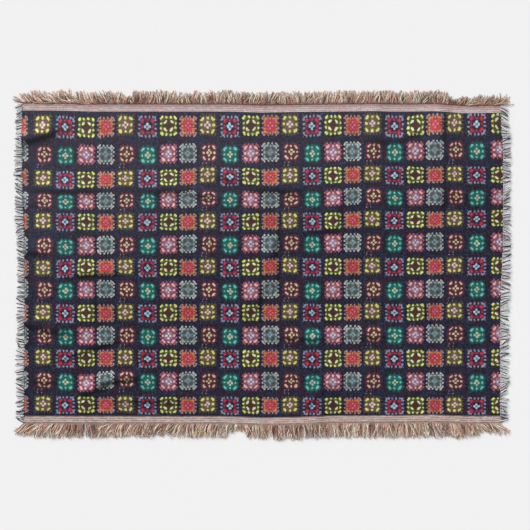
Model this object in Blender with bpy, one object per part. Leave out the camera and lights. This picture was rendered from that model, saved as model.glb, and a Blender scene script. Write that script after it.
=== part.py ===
"""Fringed throw blanket woven with a granny square pattern, laid out on a floor and seen from above.

The frame is in metres, +Z up, with its origin on the floor under the middle of the blanket.
+X runs along the blanket's long way and +Y towards its top edge.
"""

import math
import random
from collections import namedtuple

import bmesh
import bpy
from mathutils import Vector

# Overall sizes of the cloth. The fringes bring the whole throw to 1.37 m by 0.97 m.
PANEL_LENGTH = 1.320
PANEL_WIDTH = 0.837
CLOTH_THICKNESS = 0.0018
HEADING_WIDTH = 0.0200
HEADING_THICKNESS = 0.0022
GAP = 0.0003

# Each edge is a line of straight runs. Every piece along it has a whole number of divisions in each run,
# so that pieces divided unlike still meet along the same line.
END_RUNS = 14
SIDE_RUNS = 9
PANEL_COLUMNS = 4 * END_RUNS
PANEL_ROWS = 4 * SIDE_RUNS
HEADING_COLUMNS = 3 * END_RUNS
END_LOCKS = 6 * END_RUNS
LOCKS_BESIDE_PANEL = 6 * SIDE_RUNS

# The heading's raised weft cords.
HEADING_RIBS = 3
RIB_RELIEF = 0.0006

# Fringe locks. Each one is a lock of several yarns, wide at its root and narrow at its tip.
TOP_FRINGE_LENGTH = 0.0375
BOTTOM_FRINGE_LENGTH = 0.0405
SIDE_FRINGE_LENGTH = 0.0235
STRIP_WIDTH = 0.0025
LOCK_MIDDLE = 0.52
LOCK_MIDDLE_WIDTH = 0.66
LOCK_TIP_WIDTH = 0.30
LOCK_MIDDLE_HEIGHT = 0.0022
LOCK_TIP_HEIGHT = 0.0013
LOCK_SPACING = 0.62
LOCK_SHORTEST = 0.80
LOCK_CURL = 1.4

# How far each edge of the panel strays from its straight line, outwards being positive.
# The station is the place along the edge: x for the top and bottom edges, y for the side edges.
EdgePoint = namedtuple("EdgePoint", "station offset")
TOP_EDGE = [
    EdgePoint(-0.660, 0.0037),
    EdgePoint(-0.566, 0.0032),
    EdgePoint(-0.471, 0.0008),
    EdgePoint(-0.094, 0.0006),
    EdgePoint(0.000, -0.0023),
    EdgePoint(0.094, -0.0006),
    EdgePoint(0.283, 0.0014),
    EdgePoint(0.377, 0.0005),
    EdgePoint(0.471, 0.0013),
    EdgePoint(0.566, -0.0040),
    EdgePoint(0.660, -0.0026),
]
BOTTOM_EDGE = [
    EdgePoint(-0.660, -0.0007),
    EdgePoint(-0.094, 0.0000),
    EdgePoint(0.000, 0.0035),
    EdgePoint(0.094, 0.0020),
    EdgePoint(0.189, -0.0018),
    EdgePoint(0.377, -0.0024),
    EdgePoint(0.471, -0.0042),
    EdgePoint(0.566, -0.0007),
    EdgePoint(0.660, -0.0010),
]
LEFT_EDGE = [
    EdgePoint(-0.4185, -0.0016),
    EdgePoint(-0.2325, -0.0032),
    EdgePoint(-0.1395, -0.0040),
    EdgePoint(0.0465, -0.0035),
    EdgePoint(0.1395, 0.0006),
    EdgePoint(0.2325, 0.0030),
    EdgePoint(0.4185, 0.0029),
]
RIGHT_EDGE = [
    EdgePoint(-0.4185, -0.0071),
    EdgePoint(-0.1395, -0.0068),
    EdgePoint(-0.0465, -0.0043),
    EdgePoint(0.0465, 0.0008),
    EdgePoint(0.2325, 0.0010),
    EdgePoint(0.3255, 0.0008),
    EdgePoint(0.4185, -0.0062),
]

# Soft folds that lift the cloth off the floor: a ridge from start to end, bowed sideways in the middle
# (positive to the left of its run), with its crest height and the reach of its flanks to each side.
# A fold that crosses an edge starts or ends outside the cloth.
Fold = namedtuple("Fold", "start_x start_y end_x end_y bow height flank")
FOLDS = [
    Fold(-0.740, 0.316, -0.540, 0.392, 0.004, 0.0085, 0.044),
    Fold(-0.640, 0.212, -0.180, 0.206, 0.006, 0.0060, 0.040),
    Fold(-0.185, 0.256, 0.125, 0.205, 0.008, 0.0060, 0.038),
    Fold(-0.200, 0.200, 0.200, 0.096, 0.010, 0.0060, 0.040),
    Fold(0.170, 0.186, 0.720, 0.190, 0.000, 0.0045, 0.038),
    Fold(0.050, 0.095, -0.070, -0.195, -0.010, 0.0070, 0.042),
    Fold(0.020, -0.200, 0.400, -0.204, 0.006, 0.0065, 0.040),
    Fold(0.500, 0.000, 0.400, -0.240, -0.008, 0.0060, 0.040),
    Fold(0.225, -0.240, 0.120, -0.470, 0.006, 0.0070, 0.040),
    Fold(0.318, 0.520, 0.278, 0.210, 0.006, 0.0065, 0.040),
    Fold(0.486, 0.540, 0.498, 0.080, -0.006, 0.0080, 0.042),
    Fold(-0.545, -0.425, -0.230, -0.345, 0.055, 0.0070, 0.042),
    Fold(-0.740, 0.052, -0.530, 0.016, 0.004, 0.0065, 0.040),
    Fold(-0.740, -0.146, -0.460, -0.172, -0.008, 0.0070, 0.042),
    Fold(-0.570, -0.024, -0.390, -0.034, 0.000, 0.0045, 0.036),
    Fold(-0.110, -0.440, 0.185, -0.440, 0.000, 0.0055, 0.048),
]

# The way the locks lean, in degrees from straight out towards +X or +Y, by their place along the edge.
LEAN_SPREAD = 7
Lean = namedtuple("Lean", "station degrees")
TOP_LEAN = [
    Lean(-0.660, -46),
    Lean(-0.600, -36),
    Lean(-0.500, -26),
    Lean(-0.420, 6),
    Lean(-0.300, -4),
    Lean(-0.100, 8),
    Lean(0.080, -4),
    Lean(0.250, 8),
    Lean(0.480, 4),
    Lean(0.530, -12),
    Lean(0.570, 36),
    Lean(0.660, 50),
]
BOTTOM_LEAN = [
    Lean(-0.660, -42),
    Lean(-0.600, -26),
    Lean(-0.540, 10),
    Lean(-0.455, -12),
    Lean(-0.300, 4),
    Lean(-0.110, -12),
    Lean(-0.050, 20),
    Lean(0.010, -8),
    Lean(0.120, 4),
    Lean(0.400, 6),
    Lean(0.540, 22),
    Lean(0.660, 34),
]
SIDE_LEAN = [
    Lean(-0.440, -10),
    Lean(-0.330, 16),
    Lean(-0.230, -12),
    Lean(-0.110, 14),
    Lean(0.020, -10),
    Lean(0.140, 12),
    Lean(0.270, -14),
    Lean(0.360, 12),
    Lean(0.440, 4),
]


def read_along(table, station):
    """The table's second column at a station, eased smoothly from one row to the next."""
    if station <= table[0].station:
        return table[0][1]
    for before, after in zip(table, table[1:]):
        if station <= after.station:
            share = (station - before.station) / (after.station - before.station)
            eased = share * share * (3 - 2 * share)
            return before[1] + (after[1] - before[1]) * eased
    return table[-1][1]


def edge_offset(table, share, half, runs):
    """How far an edge strays at a share of its length, straight from each run's end to the next."""
    before = min(int(share * runs), runs - 1)
    start, end = (read_along(table, (2 * (before + step) / runs - 1) * half) for step in (0, 1))
    return start + (end - start) * (share * runs - before)


def corner(side_x, side_y):
    """One corner of the panel."""
    side_table = RIGHT_EDGE if side_x > 0 else LEFT_EDGE
    end_table = TOP_EDGE if side_y > 0 else BOTTOM_EDGE
    half_length, half_width = PANEL_LENGTH / 2, PANEL_WIDTH / 2
    x = side_x * (half_length + read_along(side_table, side_y * half_width))
    y = side_y * (half_width + read_along(end_table, side_x * half_length))
    return Vector((x, y))


def end_edge(side, share):
    """A point on the panel's top edge (side 1) or bottom edge (side -1), at a share from left to right."""
    point = corner(-1, side).lerp(corner(1, side), share)
    table = TOP_EDGE if side > 0 else BOTTOM_EDGE
    point.y = side * (PANEL_WIDTH / 2 + edge_offset(table, share, PANEL_LENGTH / 2, END_RUNS))
    return point


def side_edge(side, share):
    """A point on the panel's right edge (side 1) or left edge (side -1), at a share from bottom to top."""
    point = corner(side, -1).lerp(corner(side, 1), share)
    table = RIGHT_EDGE if side > 0 else LEFT_EDGE
    point.x = side * (PANEL_LENGTH / 2 + edge_offset(table, share, PANEL_WIDTH / 2, SIDE_RUNS))
    return point


def fold_height(fold, x, y):
    """How high one fold lifts the cloth at a point. It is nothing past its flanks and its two ends."""
    run_x = fold.end_x - fold.start_x
    run_y = fold.end_y - fold.start_y
    length = math.hypot(run_x, run_y)
    from_x = x - fold.start_x
    from_y = y - fold.start_y
    along = (from_x * run_x + from_y * run_y) / length**2
    if not 0 < along < 1:
        return 0.0
    across = (from_y * run_x - from_x * run_y) / length - fold.bow * 4 * along * (1 - along)
    if abs(across) >= fold.flank:
        return 0.0
    ends = (1 - (2 * along - 1) ** 4) ** 2
    return fold.height * ends * (1 - (across / fold.flank) ** 2) ** 2


def lift(x, y):
    """Height of the cloth's underside over the floor."""
    return sum(fold_height(fold, x, y) for fold in FOLDS)


def fabric(name, colour, roughness):
    """A plain matte cloth material."""
    material = bpy.data.materials.new(name)
    material.use_nodes = True
    shader = material.node_tree.nodes["Principled BSDF"]
    shader.inputs["Base Color"].default_value = (*colour, 1)
    shader.inputs["Roughness"].default_value = roughness
    shader.inputs["Metallic"].default_value = 0
    return material


def make_object(name, bm, material, collection):
    """Turns a finished bmesh into one named object."""
    bmesh.ops.recalc_face_normals(bm, faces=bm.faces)
    mesh = bpy.data.meshes.new(name)
    bm.to_mesh(mesh)
    bm.free()
    mesh.materials.append(material)
    made = bpy.data.objects.new(name, mesh)
    collection.objects.link(made)
    return made


def thick_grid(columns, rows, place, thickness):
    """A grid laid on place(u, v), raised by its thickness into a closed sheet with upright edges.

    Returns the bmesh and its top faces' vertices, each with its u and v.
    """
    bm = bmesh.new()
    bmesh.ops.create_grid(bm, x_segments=columns, y_segments=rows, size=0.5)
    shares = [(vertex.co.x + 0.5, vertex.co.y + 0.5) for vertex in bm.verts]
    for vertex, (u, v) in zip(bm.verts, shares):
        x, y = place(u, v)
        vertex.co = (x, y, lift(x, y))
    count = len(shares)
    raised = bmesh.ops.extrude_face_region(bm, geom=bm.faces[:])
    top = [item for item in raised["geom"] if isinstance(item, bmesh.types.BMVert)]
    bm.verts.ensure_lookup_table()
    by_place = {tuple(bm.verts[i].co.xy): shares[i] for i in range(count)}
    top_shares = [by_place[tuple(vertex.co.xy)] for vertex in top]
    for vertex in top:
        vertex.co.z += thickness
    bm.normal_update()
    return bm, list(zip(top, top_shares))


def panel_place(u, v):
    """The four edges blended across the panel, so that its outline follows them."""
    ends = end_edge(-1, u).lerp(end_edge(1, u), v)
    sides = side_edge(-1, v).lerp(side_edge(1, v), u)
    corners = corner(-1, -1).lerp(corner(1, -1), u).lerp(corner(-1, 1).lerp(corner(1, 1), u), v)
    return ends + sides - corners


def woven_panel(collection):
    """The patterned body of the throw, one woven sheet with its soft folds."""
    bm, _ = thick_grid(PANEL_COLUMNS, PANEL_ROWS, panel_place, CLOTH_THICKNESS)
    navy = fabric("navy_woven_cotton", (0.030, 0.034, 0.060), 0.95)
    return make_object("woven_panel", bm, navy, collection)


def heading_place(side):
    """Places on a heading, which lies just outside the panel's top edge (side 1) or bottom edge (side -1)."""
    return lambda u, v: end_edge(side, u) + Vector((0, side * (GAP + HEADING_WIDTH * v)))


def heading(name, side, collection):
    """A weft-faced band across one end of the cloth, with raised cords along its upper face."""
    bm, top = thick_grid(HEADING_COLUMNS, 2 * HEADING_RIBS, heading_place(side), HEADING_THICKNESS)
    for vertex, (_, v) in top:
        on_crest = round(v * 2 * HEADING_RIBS) % 2 == 1
        vertex.co.z += RIB_RELIEF / 2 if on_crest else -RIB_RELIEF / 2
    rose = fabric(name + "_weft", (0.560, 0.440, 0.400), 0.92)
    return make_object(name, bm, rose, collection)


def end_root(side):
    """Root line of an end fringe, outside a heading, by the share along it and the distance outwards."""
    return lambda share, out: end_edge(side, share) + Vector((0, side * (2 * GAP + HEADING_WIDTH + out)))


def side_root(side):
    """Root line of a side fringe, with one lock beside each heading and the others beside the panel."""

    def place(share, out):
        beside_panel = (share * (LOCKS_BESIDE_PANEL + 2) - 1) / LOCKS_BESIDE_PANEL
        point = side_edge(side, min(max(beside_panel, 0.0), 1.0))
        past_corner = max(-beside_panel, 0.0) - max(beside_panel - 1, 0.0)
        point.y -= past_corner * LOCKS_BESIDE_PANEL * (GAP + HEADING_WIDTH)
        return point + Vector((side * (GAP + out), 0))

    return place


def tip_places(table, stations, widths, length, seed):
    """Each lock's tip: how far along the edge it leans from its root, and how far out it reaches.

    The leans follow the table with a little unevenness, and neighbours' tips never touch.
    """
    chance = random.Random(seed)
    tips = []
    last = -math.inf
    for station, width in zip(stations, widths):
        lean = math.radians(read_along(table, station) + chance.uniform(-LEAN_SPREAD, LEAN_SPREAD))
        reach = length * chance.uniform(LOCK_SHORTEST, 1.0)
        tip = max(station + reach * math.sin(lean), last + width * LOCK_SPACING)
        last = tip
        tips.append((tip - station, reach * math.cos(lean)))
    return tips


def fringe(name, root, table, count, length, material, seed, collection):
    """A narrow woven strip with a row of locks fused to its outer side, each lying down on the floor.

    root gives a place by the share along the strip and the distance outwards from its inner side.
    """
    bm, _ = thick_grid(count, 1, lambda u, v: root(u, STRIP_WIDTH * v), CLOTH_THICKNESS)
    outwards = (root(0.5, 1) - root(0.5, 0)).normalized()
    along = Vector((abs(outwards.y), abs(outwards.x)))

    def station(face):
        return face.calc_center_median().xy.dot(along)

    rim = [face for face in bm.faces if face.normal.xy.dot(outwards) > 0.9]
    rim.sort(key=station)
    roots = [face.calc_center_median().xy for face in rim]
    stations = [station(face) for face in rim]
    widths = [face.calc_area() / CLOTH_THICKNESS for face in rim]
    tips = tip_places(table, stations, widths, length, seed)
    for share, taper, height in (
        (LOCK_MIDDLE, LOCK_MIDDLE_WIDTH, LOCK_MIDDLE_HEIGHT),
        (1.0, LOCK_TIP_WIDTH, LOCK_TIP_HEIGHT),
    ):
        rim = bmesh.ops.extrude_discrete_faces(bm, faces=rim)["faces"]
        rim.sort(key=station)
        for face, base, width, (shift, out) in zip(rim, roots, widths, tips):
            centre = base + along * shift * share**LOCK_CURL + outwards * out * share
            set_section(face, centre, along, taper * width, height)
    return make_object(name, bm, material, collection)


def set_section(face, centre, along, width, height):
    """Moves a lock's end face to its place, with its underside on the floor."""
    by_side = sorted(face.verts, key=lambda vertex: vertex.co.xy.dot(along))
    for sideways, pair in ((-0.5, by_side[:2]), (0.5, by_side[2:])):
        place = centre + along * sideways * width
        for vertex, level in zip(sorted(pair, key=lambda vertex: vertex.co.z), (0.0, height)):
            vertex.co = (*place, level)


def main():
    for stale in list(bpy.data.objects):
        bpy.data.objects.remove(stale)
    collection = bpy.data.collections.new("granny_square_throw")
    bpy.context.scene.collection.children.link(collection)
    woven_panel(collection)
    heading("top_heading", 1, collection)
    heading("bottom_heading", -1, collection)
    end_yarns = fabric("mixed_end_yarns", (0.330, 0.235, 0.190), 0.95)
    side_yarns = fabric("grey_side_yarns", (0.420, 0.410, 0.410), 0.95)
    for name, root, table, count, length, material, seed in (
        ("top_fringe", end_root(1), TOP_LEAN, END_LOCKS, TOP_FRINGE_LENGTH, end_yarns, 11),
        ("bottom_fringe", end_root(-1), BOTTOM_LEAN, END_LOCKS, BOTTOM_FRINGE_LENGTH, end_yarns, 23),
        ("left_fringe", side_root(-1), SIDE_LEAN, LOCKS_BESIDE_PANEL + 2, SIDE_FRINGE_LENGTH, side_yarns, 31),
        ("right_fringe", side_root(1), SIDE_LEAN, LOCKS_BESIDE_PANEL + 2, SIDE_FRINGE_LENGTH, side_yarns, 47),
    ):
        fringe(name, root, table, count, length, material, seed, collection)


main()
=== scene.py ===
import math
import random

import bmesh
import bpy
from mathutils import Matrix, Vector, noise


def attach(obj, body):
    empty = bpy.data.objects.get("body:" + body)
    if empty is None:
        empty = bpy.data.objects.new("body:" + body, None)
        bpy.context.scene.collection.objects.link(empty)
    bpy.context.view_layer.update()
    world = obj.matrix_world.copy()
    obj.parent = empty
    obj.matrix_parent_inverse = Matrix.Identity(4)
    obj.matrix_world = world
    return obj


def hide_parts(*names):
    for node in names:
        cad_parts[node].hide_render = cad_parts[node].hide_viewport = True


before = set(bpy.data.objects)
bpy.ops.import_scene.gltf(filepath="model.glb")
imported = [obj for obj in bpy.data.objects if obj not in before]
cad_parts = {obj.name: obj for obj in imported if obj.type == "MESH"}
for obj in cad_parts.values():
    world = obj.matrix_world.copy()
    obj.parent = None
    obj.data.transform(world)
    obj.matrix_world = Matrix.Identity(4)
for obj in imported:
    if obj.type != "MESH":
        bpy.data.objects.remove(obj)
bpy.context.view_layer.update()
print("frame loaded")

throw = {
    "length": 1.320,
    "width": 0.837,
    "thickness": 0.0018,
    "gap": 0.0003,  # between neighbouring pieces
    "endRuns": 14,  # straight runs along the top and bottom edges
    "sideRuns": 9,  # straight runs along the side edges
    "headingWidth": 0.0200,
    "stripWidth": 0.0025,  # the fringes' woven roots
}
halfLength = throw["length"] / 2
halfWidth = throw["width"] / 2

# How far each edge strays outwards: place along the edge, distance.
edgeWander = {
    "top": [
        (-0.660, 0.0037), (-0.566, 0.0032), (-0.471, 0.0008), (-0.094, 0.0006), (0.000, -0.0023),
        (0.094, -0.0006), (0.283, 0.0014), (0.377, 0.0005), (0.471, 0.0013), (0.566, -0.0040),
        (0.660, -0.0026),
    ],
    "bottom": [
        (-0.660, -0.0007), (-0.094, 0.0000), (0.000, 0.0035), (0.094, 0.0020), (0.189, -0.0018),
        (0.377, -0.0024), (0.471, -0.0042), (0.566, -0.0007), (0.660, -0.0010),
    ],
    "left": [
        (-0.4185, -0.0016), (-0.2325, -0.0032), (-0.1395, -0.0040), (0.0465, -0.0035),
        (0.1395, 0.0006), (0.2325, 0.0030), (0.4185, 0.0029),
    ],
    "right": [
        (-0.4185, -0.0071), (-0.1395, -0.0068), (-0.0465, -0.0043), (0.0465, 0.0008),
        (0.2325, 0.0010), (0.3255, 0.0008), (0.4185, -0.0062),
    ],
}

# Soft folds: start x, start y, end x, end y, sideways bow, crest height, reach of each flank.
folds = [
    (-0.740, 0.316, -0.540, 0.392, 0.004, 0.0085, 0.044),
    (-0.640, 0.212, -0.180, 0.206, 0.006, 0.0060, 0.040),
    (-0.185, 0.256, 0.125, 0.205, 0.008, 0.0060, 0.038),
    (-0.200, 0.200, 0.200, 0.096, 0.010, 0.0060, 0.040),
    (0.170, 0.186, 0.720, 0.190, 0.000, 0.0045, 0.038),
    (0.050, 0.095, -0.070, -0.195, -0.010, 0.0070, 0.042),
    (0.020, -0.200, 0.400, -0.204, 0.006, 0.0065, 0.040),
    (0.500, 0.000, 0.400, -0.240, -0.008, 0.0060, 0.040),
    (0.225, -0.240, 0.120, -0.470, 0.006, 0.0070, 0.040),
    (0.318, 0.520, 0.278, 0.210, 0.006, 0.0065, 0.040),
    (0.486, 0.540, 0.498, 0.080, -0.006, 0.0080, 0.042),
    (-0.545, -0.425, -0.230, -0.345, 0.055, 0.0070, 0.042),
    (-0.740, 0.052, -0.530, 0.016, 0.004, 0.0065, 0.040),
    (-0.740, -0.146, -0.460, -0.172, -0.008, 0.0070, 0.042),
    (-0.570, -0.024, -0.390, -0.034, 0.000, 0.0045, 0.036),
    (-0.110, -0.440, 0.185, -0.440, 0.000, 0.0055, 0.048),
]
# Creases: start x, start y, end x, end y, sideways bow, crest height. The cloth rises gently to each crest
# on the left of its run and drops steeply on the right.
creases = [
    (-0.710, 0.326, -0.548, 0.376, -0.003, 0.0075),
    (-0.660, 0.207, -0.440, 0.205, 0.000, 0.0045),
    (-0.320, 0.206, -0.200, 0.202, 0.000, 0.0045),
    (-0.205, 0.200, -0.130, 0.186, 0.000, 0.0052),
    (-0.155, 0.251, -0.050, 0.216, 0.003, 0.0030),
    (-0.070, 0.207, 0.130, 0.203, 0.000, 0.0045),
    (0.200, 0.090, 0.218, 0.190, 0.004, 0.0035),
    (0.125, 0.096, 0.210, 0.094, 0.000, 0.0048),
    (0.024, 0.008, 0.036, 0.095, 0.000, 0.0050),
    (0.030, -0.072, 0.034, 0.004, 0.000, 0.0035),
    (-0.022, -0.130, -0.008, -0.075, 0.000, 0.0042),
    (-0.710, 0.038, -0.590, 0.034, 0.000, 0.0064),
    (-0.700, 0.166, -0.600, 0.168, 0.000, 0.0030),
    (-0.555, -0.030, -0.375, -0.024, 0.003, 0.0060),
    (-0.474, -0.165, -0.472, -0.080, 0.000, 0.0030),
    (-0.710, -0.154, -0.530, -0.190, 0.003, 0.0064),
    (-0.560, -0.262, -0.380, -0.200, 0.002, 0.0050),
    (-0.462, -0.330, -0.330, -0.308, 0.003, 0.0070),
    (-0.512, -0.360, -0.428, -0.328, 0.000, 0.0068),
    (-0.640, -0.320, -0.560, -0.322, 0.000, 0.0034),
    (-0.430, -0.374, -0.215, -0.370, 0.000, 0.0044),
    (0.015, -0.200, 0.195, -0.205, 0.000, 0.0045),
    (0.250, -0.198, 0.350, -0.200, 0.000, 0.0030),
    (0.104, -0.402, 0.190, -0.314, -0.003, 0.0044),
    (0.188, -0.330, 0.290, -0.332, 0.000, 0.0030),
    (0.489, 0.320, 0.487, 0.425, 0.000, 0.0045),
    (0.487, 0.140, 0.489, 0.225, 0.000, 0.0040),
    (0.275, 0.352, 0.362, 0.336, -0.002, 0.0045),
    (0.358, 0.337, 0.440, 0.370, 0.000, 0.0040),
]
creaseReach = {
    "rise": 0.036,
    "drop": 0.0135,
    "deepest": 0.0067,
    "paintedShadeAndLightBands": [(-0.0085, 0.0125, 1.0), (0.0130, 0.0140, -0.3)],  # middle, half width, share of the painted crease shade; a negative share paints light on the rise
}


def easedAlong(table, place):
    if place <= table[0][0]:
        return table[0][1]
    for before, after in zip(table, table[1:]):
        if place <= after[0]:
            share = (place - before[0]) / (after[0] - before[0])
            return before[1] + (after[1] - before[1]) * share * share * (3 - 2 * share)
    return table[-1][1]


def wanderAt(edge, share):  # straight from each run's end to the next, as the solids are
    half, runs = halfLength, throw["endRuns"]
    if edge in ("left", "right"):
        half, runs = halfWidth, throw["sideRuns"]
    run = min(max(int(share * runs), 0), runs - 1)
    start, end = (easedAlong(edgeWander[edge], (2 * (run + step) / runs - 1) * half) for step in (0, 1))
    return start + (end - start) * (share * runs - run)


def cornerOf(sideX, sideY):
    x = sideX * (halfLength + easedAlong(edgeWander["right" if sideX > 0 else "left"], sideY * halfWidth))
    y = sideY * (halfWidth + easedAlong(edgeWander["top" if sideY > 0 else "bottom"], sideX * halfLength))
    return Vector((x, y))


def endLine(side, share):  # the top edge (1) or bottom edge (-1) of the panel, from left to right
    point = cornerOf(-1, side).lerp(cornerOf(1, side), share)
    point.y = side * (halfWidth + wanderAt("top" if side > 0 else "bottom", share))
    return point


def sideLine(side, share):  # the right edge (1) or left edge (-1) of the panel, from bottom to top
    point = cornerOf(side, -1).lerp(cornerOf(side, 1), share)
    point.x = side * (halfLength + wanderAt("right" if side > 0 else "left", share))
    return point


def ridgePlace(ridge, x, y):  # share of the way along a ridge, and the distance to the left of its crest
    startX, startY, endX, endY, bow = ridge[:5]
    runX, runY = endX - startX, endY - startY
    length = math.hypot(runX, runY)
    along = ((x - startX) * runX + (y - startY) * runY) / length**2
    across = ((y - startY) * runX - (x - startX) * runY) / length - bow * 4 * along * (1 - along)
    return along, across


def ridgeHeight(ridge, x, y, leftReach, rightReach):
    along, across = ridgePlace(ridge, x, y)
    reach = leftReach if across > 0 else rightReach
    if not 0 < along < 1 or abs(across) >= reach:
        return 0.0
    ends = (1 - (2 * along - 1) ** 4) ** 2
    return ridge[5] * ends * (1 - (across / reach) ** 2) ** 2


def lift(x, y):  # the underside's height over the floor
    soft = sum(ridgeHeight(fold, x, y, fold[6], fold[6]) for fold in folds)
    rise, drop = creaseReach["rise"], creaseReach["drop"]
    return soft + sum(ridgeHeight(crease, x, y, rise, drop) for crease in creases)


def paintedCreaseShade(x, y):  # painted shade in a crease, 1 at the deepest; under 0 on the rise beside it, where it paints light
    tone = 0.0
    for crease in creases:
        along, across = ridgePlace(crease, x, y)
        if 0 < along < 1 and abs(across) < creaseReach["rise"]:
            depth = crease[5] / creaseReach["deepest"] * (1 - (2 * along - 1) ** 4)
            for middle, half, share in creaseReach["paintedShadeAndLightBands"]:
                tone += depth * share * max(1 - ((across - middle) / half) ** 2, 0.0) ** 2
    return min(tone, 1.0)


# Small helpers for nodes


def tint(red, green, blue):  # a colour as it is seen on a screen, 0 to 255
    def linear(value):
        share = value / 255
        return share / 12.92 if share <= 0.04045 else ((share + 0.055) / 1.055) ** 2.4

    return (linear(red), linear(green), linear(blue), 1.0)


def feed(tree, socket, value):
    if isinstance(value, bpy.types.NodeSocket):
        tree.links.new(value, socket)
    else:
        socket.default_value = value


def addNode(tree, kind, inputs=None, **settings):
    made = tree.nodes.new(kind)
    for setting, value in settings.items():
        setattr(made, setting, value)
    for name, value in (inputs or {}).items():
        feed(tree, made.inputs[name], value)
    return made


def calc(tree, operation, *values):
    made = tree.nodes.new("ShaderNodeMath")
    made.operation = operation
    for socket, value in zip(made.inputs, values):
        feed(tree, socket, value)
    return made.outputs[0]


def calcVector(tree, operation, first, second=None, scale=None):
    made = tree.nodes.new("ShaderNodeVectorMath")
    made.operation = operation
    feed(tree, made.inputs[0], first)
    if second is not None:
        feed(tree, made.inputs[1], second)
    if scale is not None:
        feed(tree, made.inputs["Scale"], scale)
    return made.outputs["Value" if operation in ("LENGTH", "DOT_PRODUCT") else "Vector"]


def squared(tree, value):
    return calc(tree, "MULTIPLY", value, value)


def softStep(tree, value, start, end):  # 1 at end, 0 at start, whichever is larger
    made = addNode(tree, "ShaderNodeMapRange", interpolation_type="SMOOTHSTEP")
    feed(tree, made.inputs["Value"], value)
    feed(tree, made.inputs["From Min"], start)
    feed(tree, made.inputs["From Max"], end)
    return made.outputs["Result"]


def mixTint(tree, mask, below, above, blend="MIX"):
    made = addNode(tree, "ShaderNodeMix", data_type="RGBA", blend_type=blend)
    feed(tree, made.inputs[0], mask)
    feed(tree, made.inputs[6], below)
    feed(tree, made.inputs[7], above)
    return made.outputs[2]


def noiseOf(tree, point, scale, detail=1.0, roughness=0.5):
    sizes = {"Vector": point, "Scale": scale, "Detail": detail, "Roughness": roughness}
    return addNode(tree, "ShaderNodeTexNoise", sizes).outputs


def attributeOf(tree, name):
    return addNode(tree, "ShaderNodeAttribute", attribute_name=name).outputs["Fac"]


def vectorOf(tree, x, y, z=0.0):
    return addNode(tree, "ShaderNodeCombineXYZ", {"X": x, "Y": y, "Z": z}).outputs[0]


def separated(tree, vector):
    return addNode(tree, "ShaderNodeSeparateXYZ", {"Vector": vector}).outputs


def spread(tree, value, width):  # 1 where the value is a half, over a range of width in all
    return calc(tree, "MULTIPLY_ADD", calc(tree, "SUBTRACT", value, 0.5), width, 1.0)


def shadeBy(tree, value, mask, gain, base=1.0):
    return calc(tree, "MULTIPLY", value, calc(tree, "MULTIPLY_ADD", mask, gain, base))


def toned(tree, colour, value, hue=0.5):
    return addNode(tree, "ShaderNodeHueSaturation", {"Hue": hue, "Value": value, "Color": colour}).outputs[0]


def strayed(tree, chart, colour, reach):  # moves a chart's point by a noise's colour
    centred = calcVector(tree, "SUBTRACT", colour, (0.5, 0.5, 0.5))
    return calcVector(tree, "ADD", chart, calcVector(tree, "SCALE", centred, scale=reach))


def bumped(tree, surface, height, strength, distance):
    bump = addNode(tree, "ShaderNodeBump", {"Height": height, "Strength": strength, "Distance": distance})
    feed(tree, surface["Normal"], bump.outputs["Normal"])


def rampOf(tree, value, stops, interpolation="LINEAR"):
    made = addNode(tree, "ShaderNodeValToRGB", {"Fac": value})
    made.color_ramp.interpolation = interpolation
    while len(made.color_ramp.elements) < len(stops):
        made.color_ramp.elements.new(0.5)
    for element, (place, colour) in zip(made.color_ramp.elements, stops):
        element.position = place
        element.color = colour
    return made.outputs["Color"]


socketKinds = {"value": "NodeSocketFloat", "vector": "NodeSocketVector", "colour": "NodeSocketColor"}


def newGroup(name, inputs, outputs):  # inputs: name, kind, default; outputs: name, kind
    tree = bpy.data.node_groups.new(name, "ShaderNodeTree")
    for socketName, kind, default in inputs:
        socket = tree.interface.new_socket(name=socketName, in_out="INPUT", socket_type=socketKinds[kind])
        if default is not None:
            socket.default_value = default
    for socketName, kind in outputs:
        tree.interface.new_socket(name=socketName, in_out="OUTPUT", socket_type=socketKinds[kind])
    return tree, tree.nodes.new("NodeGroupInput").outputs, tree.nodes.new("NodeGroupOutput").inputs


def useGroup(tree, group, inputs):
    made = tree.nodes.new("ShaderNodeGroup")
    made.node_tree = group
    for name, value in inputs.items():
        feed(tree, made.inputs[name], value)
    return made.outputs


def newMaterial(name):
    material = bpy.data.materials.new(name)
    material.use_nodes = True
    tree = material.node_tree
    return material, tree, tree.nodes["Principled BSDF"].inputs


# Weave shared by the cloth and its headings

weave = {
    "warpPitch": 0.00125,  # threads up the cloth
    "weftPitch": 0.00135,  # threads across it
    "toneSpread": 0.56,  # how unlike neighbouring stitches are
    "relief": 0.00035,
    "dip": 0.35,  # how far every other stitch dips
    "crownPower": 0.4,  # how square a thread's crown is
}


def toMiddle(tree, count, pitch, place):  # from a place to the middle of its stitch
    return calc(tree, "SUBTRACT", calc(tree, "MULTIPLY", calc(tree, "ADD", count, 0.5), pitch), place)


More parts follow.
